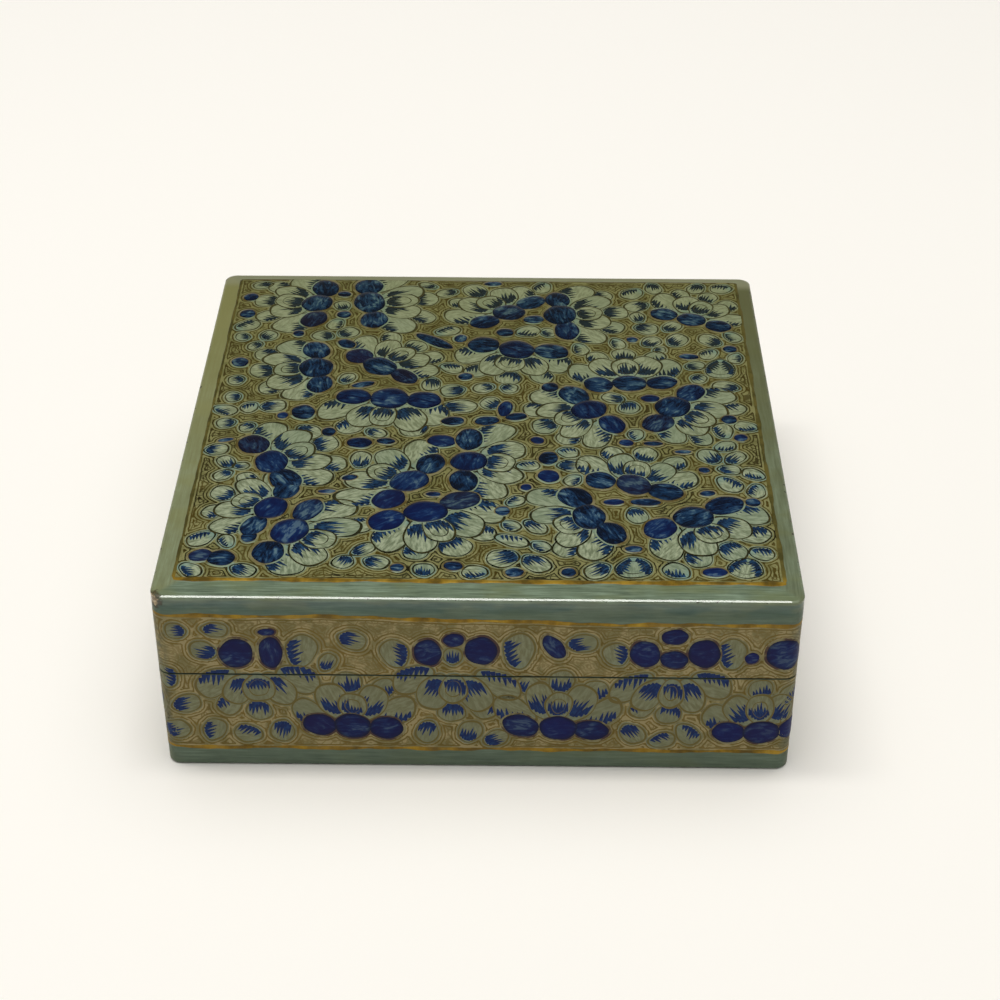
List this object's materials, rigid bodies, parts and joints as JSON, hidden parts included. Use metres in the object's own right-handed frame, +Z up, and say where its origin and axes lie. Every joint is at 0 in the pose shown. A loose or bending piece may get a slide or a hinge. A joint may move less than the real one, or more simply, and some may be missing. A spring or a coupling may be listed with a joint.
{
  "type": "papier mache box",
  "caption": "Square Kashmiri papier mache box with a lift-off lid over an inner collar, painted and varnished, for keeping small things.",
  "frame": {"origin": "centre of the underside, on the surface that the box stands on", "axes": "+Z up, towards the lid; -Y towards the front as pictured; +X to the right of the front"},
  "size_m": [0.111, 0.111, 0.038],
  "materials": {
    "painted_skin": "chalk ground painted with flowers, under glossy amber varnish",
    "black_board": "pressed paper board, brushed black on the inside",
    "black_paper": "thin pasted paper, brushed black, satin"
  },
  "bodies": {
    "base": {"base_painted_skin": "painted_skin", "base_floor_board": "black_board", "base_front_wall": "black_board", "base_back_wall": "black_board", "base_left_wall": "black_board", "base_right_wall": "black_board", "base_floor_paper": "black_paper", "base_underside_paper": "black_paper", "collar_front_strip": "black_board", "collar_back_strip": "black_board", "collar_left_strip": "black_board", "collar_right_strip": "black_board"},
    "lid": {"lid_painted_skin": "painted_skin", "lid_top_board": "black_board", "lid_front_wall": "black_board", "lid_back_wall": "black_board", "lid_left_wall": "black_board", "lid_right_wall": "black_board", "lid_ceiling_paper": "black_paper"}
  },
  "joints": [
    {"name": "lid_lift", "type": "slide", "parent": "base", "child": "lid", "axis": [0, 0, 1], "range_m": [0, 0.06]}
  ]
}
